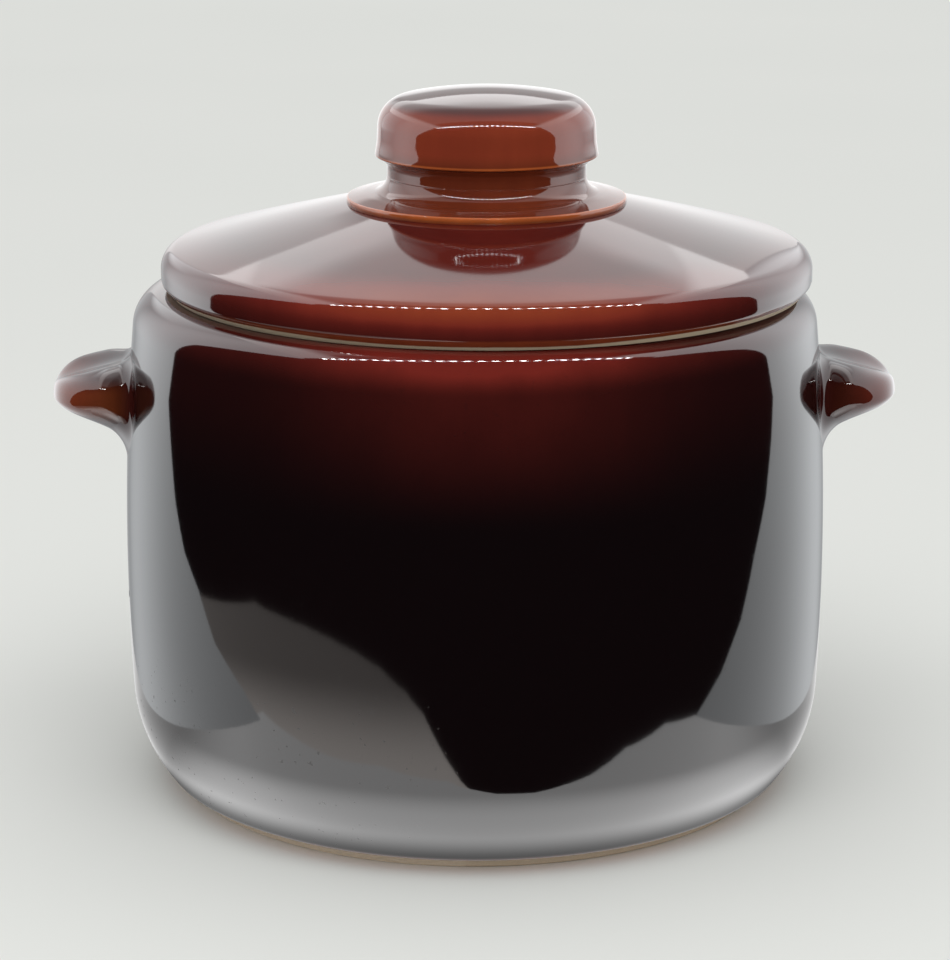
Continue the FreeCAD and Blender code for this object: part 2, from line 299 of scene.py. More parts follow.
# Circles of the body's wall
shoulder_centre = (BELLY_RADIUS - CREST_INSET, RIM_HEIGHT - SHOULDER_RADIUS)
crest_rise = shoulder_centre[1] - BELLY_HEIGHT
upper_wall_radius = ((CREST_INSET ** 2 + crest_rise ** 2 - SHOULDER_RADIUS ** 2)
                     / (2 * (CREST_INSET - SHOULDER_RADIUS)))
upper_centre = (BELLY_RADIUS - upper_wall_radius, BELLY_HEIGHT)
lower_centre = (BELLY_RADIUS - LOWER_WALL_RADIUS, BELLY_HEIGHT)
heel_point = (BELLY_RADIUS - HEEL_INSET, HEEL_HEIGHT)
heel_centre = circles_meet(lower_centre, LOWER_WALL_RADIUS - HEEL_CORNER_RADIUS,
                           heel_point, HEEL_CORNER_RADIUS)
shoulder_angle = angle_of(upper_centre, shoulder_centre)
corner_angle = angle_of(lower_centre, heel_centre)
heel_angle = angle_of(heel_centre, heel_point)


def wall_radius_at(height):
    """The body's outer radius at a height above the belly."""
    return upper_centre[0] + math.sqrt(upper_wall_radius ** 2 - (height - BELLY_HEIGHT) ** 2)


def body_mesh(shape):
    """Outside from the heel up to the rim, over the mouth, down the inside, and back under the foot."""
    few = shape.arc_steps
    foot_radius = heel_point[0] - FOOT_INSET
    ring_inner = foot_radius - FOOT_RING_WIDTH
    mouth_radius = shoulder_centre[0] - LAND_WIDTH
    under = RIM_HEIGHT - WALL
    inner_corner = HEEL_CORNER_RADIUS - WALL
    floor_angle = math.degrees(math.asin((FLOOR - heel_centre[1]) / inner_corner))
    heel_end = heel_angle + math.degrees(HEEL_ROUND / HEEL_CORNER_RADIUS)
    start = on_circle(heel_centre, HEEL_CORNER_RADIUS, heel_end)
    outline = Outline(*start)
    outline.arc(heel_centre, corner_angle - heel_end, 2 * few)
    outline.arc(lower_centre, -corner_angle, 2 * few)
    outline.arc(upper_centre, shoulder_angle, 3 * few)
    outline.arc(shoulder_centre, 90 - shoulder_angle, 2 * few)
    outline.line_to(mouth_radius + MOUTH_ROUND, RIM_HEIGHT, 2)
    outline.arc((mouth_radius + MOUTH_ROUND, RIM_HEIGHT - MOUTH_ROUND), 90, few)
    outline.line_to(mouth_radius, under + MOUTH_ROUND)
    outline.arc((mouth_radius + MOUTH_ROUND, under + MOUTH_ROUND), 90, few)
    outline.line_to(shoulder_centre[0], under, 2)
    outline.arc(shoulder_centre, shoulder_angle - 90, few)
    outline.arc(upper_centre, -shoulder_angle, 2 * few)
    outline.arc(lower_centre, corner_angle, few)
    outline.arc(heel_centre, floor_angle - corner_angle, 2 * few)
    outline.line_to(0, FLOOR, few)
    outline.line_to(0, FOOT_RECESS)
    outline.line_to(ring_inner, FOOT_RECESS, few)
    outline.line_to(ring_inner + FOOT_ROUND / 2, 0)
    outline.line_to(foot_radius - FOOT_ROUND, 0, 2)
    outline.arc((foot_radius - FOOT_ROUND, FOOT_ROUND), 90, few // 2)
    outline.line_to(foot_radius, FOOT_HEIGHT)
    outline.line_to(heel_point[0] - HEEL_ROUND, heel_point[1] - HEEL_ROUND / 4)
    outline.close()
    return outline.turn(0, shape.turns)


# Circles of the lid's upper face
lid_round_centre = (LID_RIM_RADIUS - LID_ROUND, RIM_HEIGHT + LID_ROUND_HEIGHT)
collar_foot = (COLLAR_RADIUS, RIM_HEIGHT + LID_DOME_HEIGHT)
dome_centre = circles_meet(lid_round_centre, LID_DOME_RADIUS - LID_ROUND, collar_foot, LID_DOME_RADIUS)
dome_angle = angle_of(dome_centre, lid_round_centre)


def dome_angle_at(radius, inset):
    return math.degrees(math.acos((radius - dome_centre[0]) / (LID_DOME_RADIUS - inset)))


def cover_mesh(shape):
    """The lid: over the rounded rim, up the dome to the vent, and back along the hollow underside."""
    few = shape.arc_steps
    edge_radius = LID_RIM_RADIUS - LID_EDGE_INSET
    bevel_top = (LID_RIM_RADIUS, RIM_HEIGHT + LID_BEVEL_HEIGHT)
    under_radius = LID_DOME_RADIUS - LID_THICKNESS
    vent_angle = dome_angle_at(VENT_RADIUS, LID_THICKNESS)
    hollow_angle = dome_angle_at(LID_HOLLOW_RADIUS - LID_HOLLOW_ROUND, LID_THICKNESS)
    hollow_top = on_circle(dome_centre, under_radius, hollow_angle)
    vent_under = on_circle(dome_centre, under_radius, vent_angle)
    outline = Outline(edge_radius - LID_EDGE_ROUND, RIM_HEIGHT)
    outline.arc((edge_radius - LID_EDGE_ROUND, RIM_HEIGHT + LID_EDGE_ROUND), LID_EDGE_TURN, 4)
    outline.line_to(bevel_top[0] - LID_BEVEL_EASE_IN, bevel_top[1] - LID_BEVEL_EASE_DOWN, 5)
    outline.line_to(*bevel_top, 2)
    outline.line_to(LID_RIM_RADIUS, lid_round_centre[1], 4)
    outline.arc(lid_round_centre, dome_angle, 2 * few)
    outline.arc(dome_centre, dome_angle_at(VENT_RADIUS, 0) - dome_angle, 5 * few)
    outline.line_to(*vent_under, 2)
    outline.arc(dome_centre, hollow_angle - vent_angle, 2 * few)
    outline.arc((hollow_top[0], hollow_top[1] - LID_HOLLOW_ROUND), -90, few)
    outline.line_to(LID_HOLLOW_RADIUS, RIM_HEIGHT, 2)
    outline.line_to(LID_HOLLOW_RADIUS + FLANGE_WIDTH, RIM_HEIGHT)
    outline.close()
    return outline.turn(LID_X, shape.turns)


def flange_mesh(shape):
    inner = FLANGE_OUTER - FLANGE_WIDTH
    low = FLANGE_LOW.z
    outline = Outline(inner, RIM_HEIGHT)
    outline.line_to(FLANGE_OUTER, RIM_HEIGHT, 2)
    outline.line_to(FLANGE_OUTER, low + FLANGE_ROUND, 3)
    outline.arc((FLANGE_OUTER - FLANGE_ROUND, low + FLANGE_ROUND), -90, shape.arc_steps)
    outline.line_to(inner + FLANGE_ROUND, low, 2)
    outline.arc((inner + FLANGE_ROUND, low + FLANGE_ROUND), -90, shape.arc_steps)
    outline.close()
    return outline.turn(LID_X, shape.turns)


def knob_mesh(shape):
    """Cap, neck, flare and collar, and the hollow inside that opens into the lid's vent."""
    few = shape.arc_steps
    collar_edge_height = collar_foot[1] + COLLAR_THICKNESS
    collar_top = collar_edge_height + COLLAR_EDGE_LIFT
    flat_height = collar_edge_height + COLLAR_FLAT_RISE
    flat_radius = COLLAR_RADIUS - COLLAR_FLAT_WIDTH
    neck_top = flat_height + NECK_HEIGHT
    cap_edge = (NECK_RADIUS + CAP_OVERHANG, neck_top + CAP_EDGE_RISE)
    side_radius = cap_edge[0] - CAP_SIDE_DRAFT
    top = KNOB_HIGH.z - 0.01 * MM
    dome = (0, top - CAP_DOME_RADIUS)
    corner_radius = side_radius - CAP_CORNER
    corner = (corner_radius, dome[1] + math.sqrt((CAP_DOME_RADIUS - CAP_CORNER) ** 2 - corner_radius ** 2))
    corner_top = angle_of(dome, corner)
    flare_centre = (NECK_RADIUS + NECK_FLARE_OUT, flat_height + NECK_FLARE_OUT)
    hollow_radius = side_radius - KNOB_WALL
    hollow_top = top - KNOB_WALL
    outline = Outline(0, top)
    outline.arc(dome, corner_top - 90, 2 * few)
    outline.arc(corner, -corner_top, 2 * few)
    outline.line_to(side_radius + CAP_SIDE_DRAFT / 4, (corner[1] + cap_edge[1]) / 2, 3)
    outline.line_to(cap_edge[0], cap_edge[1] + CAP_EDGE_ROUND, 3)
    outline.arc((cap_edge[0] - CAP_EDGE_ROUND, cap_edge[1] + CAP_EDGE_ROUND), -CAP_EDGE_TURN, few // 2)
    outline.line_to(NECK_RADIUS + NECK_CORNER_OUT, neck_top + NECK_CORNER_UP, 2)
    outline.line_to(NECK_RADIUS, neck_top - NECK_CORNER_DOWN)
    outline.line_to(NECK_RADIUS, flat_height + NECK_FLARE_HEIGHT, 3)
    for step in range(1, 2 * few + 1):
        outline.line_to(*on_circle(flare_centre, NECK_FLARE_OUT, 180 + step * NECK_FLARE_TURN / (2 * few)))
    outline.line_to(flat_radius, flat_height)
    outline.line_to(COLLAR_RADIUS - COLLAR_ROUND, collar_top, 3)
    outline.arc((COLLAR_RADIUS - COLLAR_ROUND, collar_top - COLLAR_ROUND), -90, few // 2)
    outline.line_to(*collar_foot)
    outline.arc(dome_centre, dome_angle_at(VENT_RADIUS, 0) - angle_of(dome_centre, collar_foot), few)
    outline.line_to(VENT_RADIUS, neck_top - HOLLOW_FLARE_DROP, 2)
    outline.line_to(hollow_radius, cap_edge[1])
    outline.line_to(hollow_radius, hollow_top - KNOB_HOLLOW_ROUND)
    outline.arc((hollow_radius - KNOB_HOLLOW_ROUND, hollow_top - KNOB_HOLLOW_ROUND), 90, few // 2)
    outline.line_to(0, hollow_top, 3)
    outline.close()
    return outline.turn(LID_X, shape.turns)


def lug_taper(out, start, reach, squareness):
    """How far a lug has closed in towards its nose: 1 before the start, then less and less."""
    way = min(max(out - start, 0) / (reach - start), 1.0)
    return (1 - way ** squareness) ** (1 / squareness)


def fillet_growth(radius, out):
    """How much a fillet of this radius adds to a lug at a distance out from the wall."""
    if out < 0:
        return radius + LUG_ROOT_SPREAD
    short = max(radius - out, 0)
    return radius - math.sqrt(radius ** 2 - short ** 2)


def lug_point(angle, out):
    """A point on the right lug: an angle round it, and a distance out from the wall."""
    middle_height = RIM_HEIGHT - LUG_BELOW_RIM
    middle_radius = wall_radius_at(middle_height)
    reach = LUG_TIP - middle_radius
    way = max(out, 0) / reach
    flare = min(max(out, 0) / LUG_FLARE_OUT, 1.0)
    flare = flare * flare * (3 - 2 * flare)
    half_width = LUG_WAIST_HALF_WIDTH + flare * (LUG_HALF_WIDTH - LUG_WAIST_HALF_WIDTH)
    half_width = half_width * lug_taper(out, LUG_CORNER_START, reach, LUG_PLAN_SQUARENESS)
    taper = lug_taper(out, LUG_NOSE_START, reach, LUG_UNDER_SQUARENESS)
    middle = -LUG_ROOT_SAG * (1 - flare) - LUG_NOSE_SAG * way ** 2
    rise = taper * (LUG_ROOT_RISE + way * (LUG_NOSE_RISE - LUG_ROOT_RISE) - middle)
    drop = taper * (LUG_ROOT_DROP + way * (LUG_NOSE_DROP - LUG_ROOT_DROP) + middle)
    dish_half_width = half_width * (1 - LUG_RIDGE_INSET / LUG_HALF_WIDTH)
    power = 2 / (LUG_TOP_SQUARENESS if math.sin(angle) > 0 else LUG_UNDER_SQUARENESS)
    across = math.copysign(abs(math.cos(angle)) ** power, math.cos(angle))
    up = math.copysign(abs(math.sin(angle)) ** power, math.sin(angle))
    end_fillet = LUG_TOP_FILLET if up > 0 else LUG_UNDER_FILLET
    growth = fillet_growth(LUG_SIDE_FILLET + up ** 2 * (end_fillet - LUG_SIDE_FILLET), out)
    y = across * (half_width + growth)
    dish = 0.0
    if up > 0 and abs(y) < dish_half_width and taper > 0:
        dish = taper ** 2 * LUG_DISH_DEPTH * math.cos(math.pi / 2 * y / dish_half_width) ** 2
    height = rise if up > 0 else drop
    z = middle_height + middle + up * (height + growth) - dish
    bend = middle_radius - math.sqrt(middle_radius ** 2 - y ** 2)
    lean = wall_radius_at(z) - middle_radius
    return Vector((middle_radius + out + (1 - way) * (lean - bend), y, z))


def lug_mesh(side):
    """A lug whose skin runs tangent on to the wall; side is 1 for the right one and -1 for the left."""
    reach = LUG_TIP - wall_radius_at(RIM_HEIGHT - LUG_BELOW_RIM)
    mesh = bmesh.new()
    bmesh.ops.create_grid(mesh, x_segments=LUG_ROUND_STEPS, y_segments=LUG_OUT_STEPS, size=1)
    for vert in mesh.verts:
        angle = vert.co.x * math.pi
        step = round((vert.co.y + 1) / 2 * LUG_OUT_STEPS) - 1
        out = -LUG_ROOT_SINK
        if step >= 0:
            out = reach * (1 - math.cos(math.pi * step / (LUG_OUT_STEPS - 1))) / 2
        vert.co = lug_point(angle, out)
    bmesh.ops.remove_doubles(mesh, verts=mesh.verts, dist=0.001 * MM)
    border = [edge for edge in mesh.edges if edge.is_boundary]
    bmesh.ops.holes_fill(mesh, edges=border, sides=0)
    bmesh.ops.scale(mesh, vec=(side, 1, 1), verts=mesh.verts)
    bmesh.ops.recalc_face_normals(mesh, faces=mesh.faces)
    return mesh


class Value:
    """A shader number; arithmetic on it adds Math nodes."""

    def __init__(self, finish, socket):
        self.finish = finish
        self.socket = socket

    def math(self, operation, *others):
        return self.finish.math(operation, self, *others)

    def __add__(self, other):
        return self.math("ADD", other)

    __radd__ = __add__

    def __sub__(self, other):
        return self.math("SUBTRACT", other)

    def __rsub__(self, other):
        return self.finish.math("SUBTRACT", other, self)

    def __mul__(self, other):
        return self.math("MULTIPLY", other)

    __rmul__ = __mul__

    def __pow__(self, other):
        return self.math("POWER", other)


class Finish:
    """The node tree of a material or a world, built from Python expressions."""

    def __init__(self, owner):
        owner.use_nodes = True
        self.owner = owner
        self.tree = owner.node_tree
        self.tree.nodes.clear()

    def node(self, kind, settings=None, **inputs):
        """Adds a node: its settings first, then the values or links of its sockets."""
        made = self.tree.nodes.new(kind)
        for name, value in (settings or {}).items():
            setattr(made, name, value)
        for name, value in inputs.items():
            self.feed(self.socket_of(made, name), value)
        return made

    def socket_of(self, made, name):
        """The input of this name, or the numbered one for at_0, at_1 and so on."""
        wanted = name.replace("_", " ").lower()
        if wanted.split(" ")[0] == "at":
            return made.inputs[int(wanted.split(" ")[1])]
        return next(s for s in made.inputs if s.enabled and s.name.lower() == wanted)

    def feed(self, socket, value):
        if isinstance(value, Value):
            self.tree.links.new(value.socket, socket)
        elif isinstance(value, bpy.types.NodeSocket):
            self.tree.links.new(value, socket)
        elif socket.type == "RGBA":
            socket.default_value = (*value[:3], 1)
        else:
            socket.default_value = value

    def math(self, operation, *values):
        made = self.tree.nodes.new("ShaderNodeMath")
        made.operation = operation
        for socket, value in zip(made.inputs, values):
            self.feed(socket, value)
        return Value(self, made.outputs[0])

    def between(self, value, low, high):
        """Rises smoothly from 0 to 1 as the value goes from low to high; high may be below low."""
        made = self.node("ShaderNodeMapRange", {"interpolation_type": "SMOOTHSTEP"},
                         value=value, from_min=low, from_max=high, to_min=0.0, to_max=1.0)
        return Value(self, made.outputs["Result"])

    def mix(self, factor, first, second):
        """A colour between two colours."""
        made = self.node("ShaderNodeMix", {"data_type": "RGBA"}, factor=factor, a=first, b=second)
        return next(s for s in made.outputs if s.type == "RGBA")

    def place(self):
        """Object coordinates, and the three numbers in them."""
        vector = self.node("ShaderNodeTexCoord").outputs["Object"]
        parts = self.node("ShaderNodeSeparateXYZ", at_0=vector).outputs
        return vector, [Value(self, part) for part in parts]

    def noise(self, vector, scale, detail=3.0, roughness=0.5, stretch=(1, 1, 1), shift=(0, 0, 0)):
        """Soft noise from 0 to 1; the scale is in waves per metre."""
        moved = self.node("ShaderNodeMapping", vector=vector, scale=stretch, location=shift)
        made = self.node("ShaderNodeTexNoise", vector=moved.outputs[0], scale=scale, detail=detail,
                         roughness=roughness)
        return Value(self, made.outputs[0])

    def near(self, vector, spot, size):
        """1 at a spot, fading to 0 at a distance."""
        apart = self.node("ShaderNodeVectorMath", {"operation": "DISTANCE"}, at_0=vector, at_1=spot)
        return self.between(Value(self, apart.outputs["Value"]), size, size * 0.4)

    def surface(self, shader):
        self.node("ShaderNodeOutputMaterial", surface=shader)
        return self.owner


def shade_of(colour, amount):
    return tuple(min(amount * part, 1) for part in colour)


def make_glaze(name, look, thin_glaze_and_light, edges, bare=None, spots=(), specks=None):
    """Glossy brown glaze. Each mask is worked out from Object coordinates by a function of the piece."""
    finish = Finish(bpy.data.materials.new(name))
    vector, (x, y, z) = finish.place()
    mottle = finish.noise(vector, MOTTLE_WAVES, 4.0, 0.6)
    streaks = finish.noise(vector, STREAK_WAVES, 3.0, 0.6, stretch=(1, 1, 0.12))
    pores = finish.noise(vector, PORE_WAVES, 2.0, 0.5)
    # The thinness and edge masks also carry painted light: lighter middles on the body and lid, and more
    # orange on the left lug
    thin = thin_glaze_and_light(finish, x, y, z) * (0.55 + mottle * 0.5 + streaks * 0.4)
    colour = finish.mix(finish.math("MINIMUM", thin, 1.0), tuple(look.deep), tuple(look.thin))
    edge = edges(finish, x, y, z) * (0.45 + 0.9 * streaks)
    colour = finish.mix(finish.math("MINIMUM", edge, 1.0), colour, tuple(look.edge))
    rough = look.gloss + 0.03 * mottle
    for spot, size, shade in spots:
        mark = finish.near(vector, spot, size)
        colour = finish.mix(mark, colour, shade)
        rough = rough + mark * 0.5
    if specks:
        mark = specks(finish, vector, x, y, z)
        colour = finish.mix(mark, colour, SPECK_COLOUR)
        rough = rough + mark * 0.4
    ripple = finish.noise(vector, RIPPLE_WAVES, 1.0, 0.4)
    height = ripple + pores * 0.004 + mottle * 0.03
    if bare:
        mask = bare(finish, x, y, z)
        grain = finish.noise(vector, BARE_GRAIN_WAVES, 4.0, 0.7)
        clay = finish.mix(grain, shade_of(look.clay, 0.8), shade_of(look.clay, 1.2))
        colour = finish.mix(mask, colour, clay)
        rough = rough + mask * 0.8
        height = height + mask * grain * 0.05
    bump = finish.node("ShaderNodeBump", strength=0.35, distance=0.0006, height=height)
    shader = finish.node("ShaderNodeBsdfPrincipled", base_color=colour, roughness=rough, ior=GLAZE_IOR,
                         normal=bump.outputs[0])
    return finish.surface(shader.outputs[0])


def make_clay(name, look):
    """Bare buff stoneware: dry, with fine grit and iron specks."""
    finish = Finish(bpy.data.materials.new(name))
    vector, _ = finish.place()
    grain = finish.noise(vector, CLAY_GRAIN_WAVES, 5.0, 0.7)
    cloud = finish.noise(vector, CLAY_CLOUD_WAVES, 3.0, 0.6)
    colour = finish.mix(grain * 0.6 + cloud * 0.4, shade_of(look.clay, 0.72), shade_of(look.clay, 1.25))
    grit = finish.between(finish.noise(vector, CLAY_GRIT_WAVES, 1.0, 0.4), 0.68, 0.74)
    colour = finish.mix(grit * 0.6, colour, GRIT_COLOUR)
    bump = finish.node("ShaderNodeBump", strength=0.5, distance=0.0003, height=grain + grit * 0.4)
    shader = finish.node("ShaderNodeBsdfPrincipled", base_color=colour,
                         roughness=CLAY_ROUGHNESS + grain * 0.1, normal=bump.outputs[0])
    return finish.surface(shader.outputs[0])


def lid_radius(finish, x, y):
    away = x - LID_X
    return (away * away + y * y) ** 0.5


def painted_lit_middle(finish, x, width):
    """Painted light: 1 in the pot's middle, front and back, falling off to painted shade towards its sides.
    """
    return 1.0 - 0.8 * finish.between(finish.math("ABSOLUTE", x), 0.0, width)


def body_thin_glaze_and_lit_middle(finish, x, y, z):
    # Glaze thinner towards the shoulder and rim, times painted light that is lighter in the middle and
    # shaded towards the sides
    top = finish.between(z, 0.088, 0.125)
    shoulder = finish.between(z, RIM_HEIGHT - 10 * MM, RIM_HEIGHT - 1 * MM)
    return (top * 0.32 + shoulder * 1.1) * painted_lit_middle(finish, x, 0.060)


def body_edges(finish, x, y, z):
    heel = finish.between(z, HEEL_HEIGHT + 1.2 * MM, HEEL_HEIGHT - 0.2 * MM)
    return heel * 0.4


def body_bare(finish, x, y, z):
    return finish.between(z, FOOT_HEIGHT + 0.4 * MM, FOOT_HEIGHT - 0.1 * MM)


def body_specks(finish, vector, x, y, z):
    dots = finish.between(finish.noise(vector, SPECK_WAVES, 1.0, 0.3), 0.725, 0.750)
    front = finish.between(y, 0.01, -0.04) * finish.between(x, 0.0, -0.03) * finish.between(z, 0.055, 0.03)
    return dots * (front * 0.9 + 0.1)


def cover_thin_glaze_and_lit_middle(finish, x, y, z):
    # Glaze thinner on the rim band and thicker on the dome, times painted light that is lighter in the
    # middle and shaded towards the sides
    rim = finish.between(z, RIM_HEIGHT + 3 * MM, RIM_HEIGHT + 10 * MM)
    dome = finish.between(z, RIM_HEIGHT + 11 * MM, RIM_HEIGHT + 15 * MM)
    return 0.15 + (0.30 + 1.2 * rim - 1.1 * dome) * painted_lit_middle(finish, x, 0.075)


def cover_broken_edges_and_lit_middle(finish, x, y, z):
    low = finish.between(z, RIM_HEIGHT + 3.0 * MM, RIM_HEIGHT + 2.1 * MM)
    rim = (finish.between(z, RIM_HEIGHT + 5 * MM, RIM_HEIGHT + 10 * MM)
           * finish.between(z, RIM_HEIGHT + 14 * MM, RIM_HEIGHT + 11 * MM))
    # The low break above the bare strip runs all round; the rim term, kept to the middle front and back, is
    # painted light
    return 0.20 * low + 0.22 * rim * finish.between(finish.math("ABSOLUTE", x), 0.055, 0.010)


def cover_bare(finish, x, y, z):
    """An uneven bare strip that is narrower in the middle of the front."""
    vector, _ = finish.place()
    middle = finish.between(finish.math("ABSOLUTE", x), 0.050, 0.020)
    uneven = finish.noise(vector, BARE_EDGE_WAVES, 3.0, 0.6)
    height = RIM_HEIGHT + 1.1 * MM - 0.5 * MM * middle + 0.6 * MM * uneven
    return finish.between(z - height, 0.2 * MM, -0.2 * MM)


def knob_thinness(finish, x, y, z):
    """Thin on the cap's side, thicker on its top and round the neck."""
    side = finish.between(z, KNOB_HIGH.z - 17 * MM, KNOB_HIGH.z - 13 * MM)
    top = finish.between(z, KNOB_HIGH.z - 5 * MM, KNOB_HIGH.z - 3 * MM)
    return 0.50 + 0.45 * side - 0.60 * top


def knob_edges(finish, x, y, z):
    radius = lid_radius(finish, x, y)
    collar_edge = collar_foot[1] + COLLAR_THICKNESS
    flat = collar_edge + COLLAR_FLAT_RISE
    cap_edge = flat + NECK_HEIGHT + CAP_EDGE_RISE
    cap = (finish.between(z, cap_edge - 0.5 * MM, cap_edge - 0.1 * MM)
           * finish.between(z, cap_edge + 0.9 * MM, cap_edge + 0.4 * MM)
           * finish.between(radius, NECK_RADIUS + 2.2 * MM, NECK_RADIUS + 2.8 * MM))
    collar = finish.between(radius, COLLAR_RADIUS - 0.7 * MM, COLLAR_RADIUS - 0.2 * MM)
    side = finish.between(z, KNOB_HIGH.z - 3 * MM, KNOB_HIGH.z - 6 * MM)
    return 0.7 * cap + 0.7 * collar + 0.16 * side


def lug_thinness(finish, x, y, z):
    out = finish.math("ABSOLUTE", x)
    return 0.16 + 0.30 * finish.between(out, 0.093, 0.106)


def lug_broken_edges_and_left_light(finish, x, y, z):
    """The glaze breaks along the lug's widest line; the stronger orange on the left one is painted light
    from the left.
    """
    away = finish.math("ABSOLUTE", z - (RIM_HEIGHT - LUG_BELOW_RIM - 0.5 * MM))
    line = finish.between(away, 6.0 * MM, 2.0 * MM)
    out = finish.between(finish.math("ABSOLUTE", x), 0.088, 0.094)
    # The extra weight on the left lug (negative x) is painted light
    return line * out * (0.04 + 0.13 * finish.between(x, 0.02, -0.02))


def make_piece(name, mesh, material, body, nodes):
    """Turns a bmesh into a finished piece that rides on a body and stands for its CAD nodes."""
    for face in mesh.faces:
        face.smooth = True
    data = bpy.data.meshes.new(name)
    mesh.to_mesh(data)
    mesh.free()
    data.materials.append(material)
    piece = bpy.data.objects.new(name, data)
    bpy.context.scene.collection.objects.link(piece)
    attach(piece, body)
    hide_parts(*nodes)


class BEANPOT_OT_body(bpy.types.Operator):
    """Adds the glazed body with its set-in foot."""
    bl_idname = "beanpot.body"
    bl_label = "Add Pot Body"

    def execute(self, context):
        scene = context.scene
        glaze = make_glaze("Body glaze", scene.pot_finish, body_thin_glaze_and_lit_middle, body_edges, body_bare,
                           CHIP_SPOTS, body_specks)
        make_piece("pot_body_glazed", body_mesh(scene.pot_shape), glaze, "pot", ["pot_body"])
        return {"FINISHED"}


class BEANPOT_OT_handles(bpy.types.Operator):
    """Adds the two lug handles."""
    bl_idname = "beanpot.handles"
    bl_label = "Add Handles"

    def execute(self, context):
        look = context.scene.pot_finish
        for name, side in (("right_handle", 1), ("left_handle", -1)):
            glaze = make_glaze(name.replace("_", " ") + " glaze", look, lug_thinness, lug_broken_edges_and_left_light)
            make_piece(name + "_glazed", lug_mesh(side), glaze, "pot", [name])
        return {"FINISHED"}


class BEANPOT_OT_lid(bpy.types.Operator):
    """Adds the lid and the bare flange under it."""
    bl_idname = "beanpot.lid"
    bl_label = "Add Lid"

    def execute(self, context):
        scene = context.scene
        glaze = make_glaze("Lid glaze", scene.pot_finish, cover_thin_glaze_and_lit_middle, cover_broken_edges_and_lit_middle, cover_bare)
        make_piece("lid_cover_glazed", cover_mesh(scene.pot_shape), glaze, "lid",
                   ["lid_cover"])
        clay = make_clay("Bare stoneware", scene.pot_finish)
        make_piece("lid_flange_bare", flange_mesh(scene.pot_shape), clay, "lid",
                   ["lid_flange"])
        return {"FINISHED"}


class BEANPOT_OT_knob(bpy.types.Operator):
    """Adds the hollow knob with its collar."""
    bl_idname = "beanpot.knob"
    bl_label = "Add Knob"

    def execute(self, context):
        scene = context.scene
        glaze = make_glaze("Knob glaze", scene.pot_finish, knob_thinness, knob_edges)
        make_piece("lid_knob_glazed", knob_mesh(scene.pot_shape), glaze, "lid", ["lid_knob"])
        return {"FINISHED"}


# Light tent round the pot, in metres, as the glaze mirrors it
TENT_HALF_WIDTH = 0.120
TENT_BACK = 0.158
TENT_HEIGHT = 0.235
TENT_FRONT = -0.074
TENT_FRONT_EDGES = {
    1: [(-0.093, 0.010), (-0.076, 0.025), (-0.063, 0.042), (-0.054, 0.060), (-0.044, 0.077),
        (-0.038, 0.094), (-0.035, 0.105), (-0.046, 0.150), (-0.080, TENT_HEIGHT)],
    -1: [(-0.090, 0.010), (-0.079, 0.020), (-0.059, 0.036), (-0.049, 0.051), (-0.038, 0.062),
         (-0.031, 0.075), (-0.026, 0.089), (-0.021, 0.103), (-0.030, 0.150), (-0.080, TENT_HEIGHT)],
}
SHEET_EDGE = [(-0.150, 0.150), (-0.150, -0.100), (-0.060, -0.142), (-0.020, -0.146), (-0.006, -0.138),
              (0.006, -0.130), (0.024, -0.127), (0.045, -0.133), (0.091, -0.135), (0.127, -0.122),
              (0.144, -0.100), (0.144, 0.150)]
TABLE_EDGE = [(-0.290, 0.020), (-0.287, -0.128), (-0.252, -0.168), (-0.221, -0.195), (-0.185, -0.214),
              (-0.148, -0.224), (-0.110, -0.224), (-0.074, -0.213), (-0.050, -0.196), (-0.030, -0.171),
              (-0.014, -0.150), (-0.006, -0.138), (-0.003, 0.020)]
LAMP_HALF_LENGTH = 0.100
LAMP_PITCH = 0.0075
LAMP_SIZE = 0.0034
LAMP_Y = -0.077
LAMP_DROP = 3 * MM
LAMP_GLOW = 90.0
LAMP_STRIP_BACK = -0.052
SHEET_HEIGHT = 0.4 * MM
TABLE_HEIGHT = 0.2 * MM
WALL_FOOT = 0.5 * MM
WALL_TINT = (0.95, 0.98, 1.0)
TABLE_TINT = (1.0, 0.93, 0.88)
PLAIN_TINT = (1, 1, 1)
ROOM_COLOUR = (0.004, 0.0035, 0.004)
FLOOR_SIZE = 3.0
FLOOR_COLOURS = ((0.78, 0.795, 0.765), (0.81, 0.82, 0.79))

# Soft lamp above and in front: width and depth, place, tilt in degrees, and watts
SOFTBOX_SIZE = (0.50, 0.25)
SOFTBOX_PLACE = (0, -0.30, 0.60)
SOFTBOX_TILT = 22
SOFTBOX_POWER = 0.8


def stage_plane(name, corners, material, camera=False, light=False):
    """A flat stage panel. Unless said otherwise, it shows only in the glaze's reflections."""
    mesh = bmesh.new()
    mesh.faces.new([mesh.verts.new(corner) for corner in corners])
    stage_object(name, mesh, material, camera, light)


def stage_object(name, mesh, material, camera=False, light=False):
    data = bpy.data.meshes.new(name)
    mesh.to_mesh(data)
    mesh.free()
    data.materials.append(material)
    panel = bpy.data.objects.new(name, data)
    bpy.context.scene.collection.objects.link(panel)
    panel.visible_camera = camera
    panel.visible_diffuse = light
    panel.visible_shadow = light
    panel.visible_transmission = light
    panel.visible_volume_scatter = False


def lamp_mesh():
    """A row of small square lamps that face down and back on to the pot."""
    mesh = bmesh.new()
    count = int(2 * LAMP_HALF_LENGTH / LAMP_PITCH)
    for number in range(count):
        added = bmesh.ops.create_grid(mesh, x_segments=1, y_segments=1, size=LAMP_SIZE / 2)
        place = ((number + 0.5) * LAMP_PITCH - LAMP_HALF_LENGTH, LAMP_Y, TENT_HEIGHT - LAMP_DROP)
        bmesh.ops.translate(mesh, verts=added["verts"], vec=place)
    return mesh


